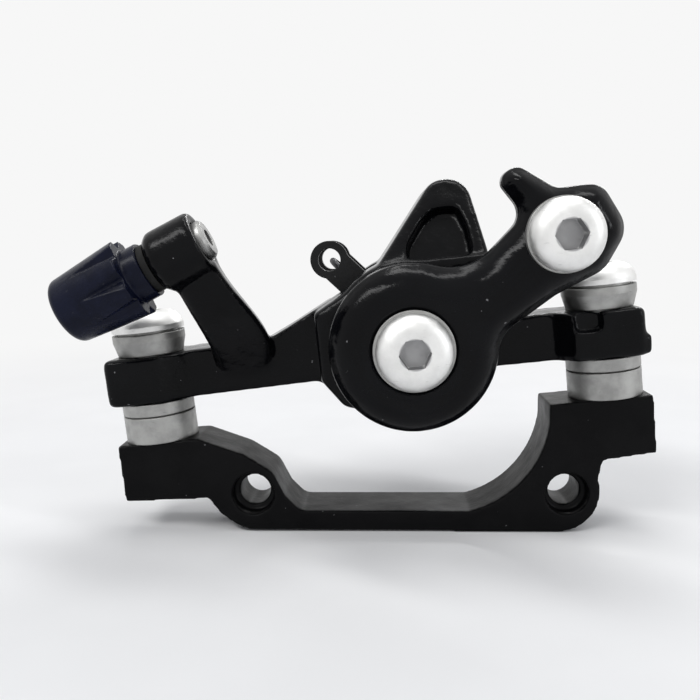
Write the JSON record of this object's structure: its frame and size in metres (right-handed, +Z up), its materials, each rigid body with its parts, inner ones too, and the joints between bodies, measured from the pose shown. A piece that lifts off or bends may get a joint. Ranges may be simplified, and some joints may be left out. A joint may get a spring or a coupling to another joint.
{
  "type": "bicycle disc brake caliper",
  "caption": "Cable-pulled disc brake caliper on an adapter bracket, with a swinging lever, ball ramp, pads and adjusters.",
  "frame": {"origin": "middle of the adapter bracket's two frame holes, where their threads start, 2.4 mm inside the bracket's outboard face", "axes": "X along the line of the two frame holes, +Y inboard towards the wheel along the rotor's axis, +Z up away from the frame holes"},
  "size_m": [0.0927, 0.046, 0.0573],
  "materials": {
    "casting_black": "gloss black paint over a cast surface",
    "lever_black": "gloss black paint",
    "bracket_black": "satin black paint",
    "bolt_steel": "satin zinc plate",
    "washer_steel": "satin zinc plate",
    "nut_steel": "zinc plate",
    "spindle_steel": "ground steel",
    "adjuster_disc": "satin grey with fine scratches",
    "bush_bronze": "sintered bronze",
    "seal_rubber": "matte black",
    "ball_chrome": "polished",
    "cage_plastic": "natural nylon",
    "pad_steel": "black coated steel",
    "lining": "friction compound",
    "spring_steel": "blackened spring wire",
    "knob_plastic": "dark navy-black moulded plastic",
    "screw_steel": "worn grey"
  },
  "bodies": {
    "bracket": {"adapter_bracket": "bracket_black", "lower_cup_washers": "washer_steel", "lower_ball_washers": "washer_steel", "upper_cup_washers": "washer_steel", "upper_ball_washers": "washer_steel", "mounting_bolts": "bolt_steel"},
    "caliper": {"caliper_body": "casting_black", "spindle_bush": "bush_bronze", "thrust_washer": "spindle_steel", "dust_seal": "seal_rubber", "return_spring": "spring_steel"},
    "lever": {"lever_arm": "lever_black", "pivot_washer": "washer_steel", "pivot_bolt": "bolt_steel", "drive_spindle": "spindle_steel", "anchor_bolt": "bolt_steel", "anchor_washer": "washer_steel", "anchor_nut": "nut_steel"},
    "cage": {"ball_cage": "cage_plastic"},
    "balls": {"ramp_balls": "ball_chrome"},
    "piston": {"pressure_piston": "spindle_steel", "outboard_pad_plate": "pad_steel", "outboard_pad_lining": "lining"},
    "inboard_pad": {"inboard_pad_plate": "pad_steel", "inboard_pad_lining": "lining", "pad_spring": "spring_steel"},
    "pad_adjuster": {"inboard_adjuster": "adjuster_disc", "adjuster_o_ring": "seal_rubber"},
    "barrel_ring": {"adjuster_ring": "seal_rubber"},
    "barrel": {"adjuster_screw": "screw_steel", "adjuster_knob": "knob_plastic"}
  },
  "joints": [
    {"name": "caliper_float", "type": "slide", "parent": "bracket", "child": "caliper", "axis": [0, 1, 0], "range_m": [-0.0015, 0.0015]},
    {"name": "lever_swing", "type": "hinge", "parent": "caliper", "child": "lever", "pos_m": [0.0003, -0.0084, 0.02532], "axis": [0, -1, 0], "range_deg": [0, 40], "stiffness_Nm_per_rad": 0.2, "springref_deg": -34.38},
    {"name": "ball_orbit", "type": "hinge", "parent": "caliper", "child": "cage", "pos_m": [0.0003, -0.0084, 0.02532], "axis": [0, -1, 0], "range_deg": [0, 20.5]},
    {"name": "ball_travel", "type": "slide", "parent": "cage", "child": "balls", "axis": [0, 1, 0], "range_m": [0, 0.00075]},
    {"name": "piston_travel", "type": "slide", "parent": "caliper", "child": "piston", "axis": [0, 1, 0], "range_m": [0, 0.0015], "deforming": ["pad_spring"]},
    {"name": "inboard_pad_travel", "type": "slide", "parent": "caliper", "child": "inboard_pad", "axis": [0, -1, 0], "range_m": [-0.001, 0.001], "deforming": ["pad_spring"]},
    {"name": "pad_adjuster_turn", "type": "hinge", "parent": "inboard_pad", "child": "pad_adjuster", "pos_m": [0.0003, 0.0216, 0.02532], "axis": [0, -1, 0], "range_deg": [-365, 365]},
    {"name": "barrel_turn", "type": "hinge", "parent": "caliper", "child": "barrel_ring", "pos_m": [-0.03788, -0.0104, 0.03744], "axis": [-0.8949, 0, -0.4462], "range_deg": [-5, 1445]},
    {"name": "barrel_travel", "type": "slide", "parent": "barrel_ring", "child": "barrel", "axis": [-0.8949, 0, -0.4462], "range_m": [0, 0.004]}
  ],
  "couplings": [
    {"joint": "ball_orbit", "follows": "lever_swing", "ratio": 0.5},
    {"joint": "ball_travel", "follows": "lever_swing", "m_per_rad": 0.0010742},
    {"joint": "piston_travel", "follows": "lever_swing", "m_per_rad": 0.0021485},
    {"joint": "pad_adjuster_turn", "follows": "inboard_pad_travel", "rad_per_m": 6283.2},
    {"joint": "barrel_turn", "follows": "barrel_travel", "rad_per_m": 6283.2}
  ]
}
